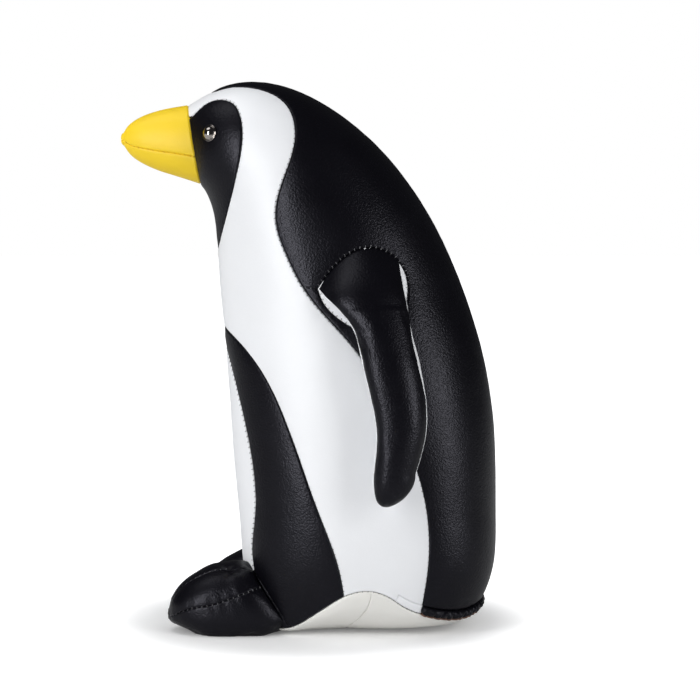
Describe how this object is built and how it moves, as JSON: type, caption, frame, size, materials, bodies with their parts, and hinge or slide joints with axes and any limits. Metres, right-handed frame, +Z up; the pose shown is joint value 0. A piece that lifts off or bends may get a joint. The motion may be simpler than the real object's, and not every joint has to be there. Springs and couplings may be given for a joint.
{
  "type": "stuffed penguin",
  "caption": "Weighted stuffed penguin sewn from smooth leather-look panels, with hinged wings and feet, a padded beak and metal stud eyes.",
  "frame": {"origin": "on the surface that it stands on, under the middle of its bounding box", "axes": "+Z up, -Y the way the penguin faces, +X its left side"},
  "size_m": [0.1126, 0.1502, 0.2188],
  "materials": {
    "black_leather": "satin",
    "white_leather": "satin",
    "cream_leather": "satin",
    "yellow_leather": "satin",
    "fibre": "matte",
    "ballast": "matte",
    "nickel": "polished"
  },
  "bodies": {
    "body": {"back_panel_left": "black_leather", "back_panel_right": "black_leather", "side_panel_left": "white_leather", "side_panel_right": "white_leather", "face_patch_left": "black_leather", "face_patch_right": "black_leather", "leg_panel_left": "black_leather", "leg_panel_right": "black_leather", "underarm_panel_left": "white_leather", "underarm_panel_right": "white_leather", "closing_flap_left": "white_leather", "closing_flap_right": "white_leather", "belly_panel": "white_leather", "base_panel_front": "cream_leather", "base_panel_rear": "cream_leather", "closing_hem": "black_leather", "body_filling": "fibre", "ballast_bag": "ballast", "eye_left": "nickel", "eye_right": "nickel", "eye_washer_left": "nickel", "eye_washer_right": "nickel", "beak_upper": "yellow_leather", "beak_lower": "yellow_leather", "beak_filling": "fibre"},
    "wing_left": {"wing_outer_left": "black_leather", "wing_lining_left": "white_leather", "wing_filling_left": "fibre"},
    "wing_right": {"wing_outer_right": "black_leather", "wing_lining_right": "white_leather", "wing_filling_right": "fibre"},
    "foot_left": {"foot_upper_outer_left": "black_leather", "foot_upper_inner_left": "black_leather", "foot_sole_left": "black_leather", "foot_filling_left": "fibre"},
    "foot_right": {"foot_upper_outer_right": "black_leather", "foot_upper_inner_right": "black_leather", "foot_sole_right": "black_leather", "foot_filling_right": "fibre"}
  },
  "joints": [
    {"name": "wing_left_lift", "type": "hinge", "parent": "body", "child": "wing_left", "pos_m": [0.03508, 0.024, 0.1542], "axis": [0.2, -0.9798, 0], "range_deg": [0, 65], "stiffness_Nm_per_rad": 0.02},
    {"name": "wing_right_lift", "type": "hinge", "parent": "body", "child": "wing_right", "pos_m": [-0.03508, 0.024, 0.1542], "axis": [0.2, 0.9798, 0], "range_deg": [0, 65], "stiffness_Nm_per_rad": 0.02},
    {"name": "foot_left_flex", "type": "hinge", "parent": "body", "child": "foot_left", "pos_m": [0.0216, -0.0226, 0.0284], "axis": [-1, 0, 0], "range_deg": [0, 18], "stiffness_Nm_per_rad": 0.1},
    {"name": "foot_right_flex", "type": "hinge", "parent": "body", "child": "foot_right", "pos_m": [-0.0216, -0.0226, 0.0284], "axis": [-1, 0, 0], "range_deg": [0, 18], "stiffness_Nm_per_rad": 0.1}
  ]
}
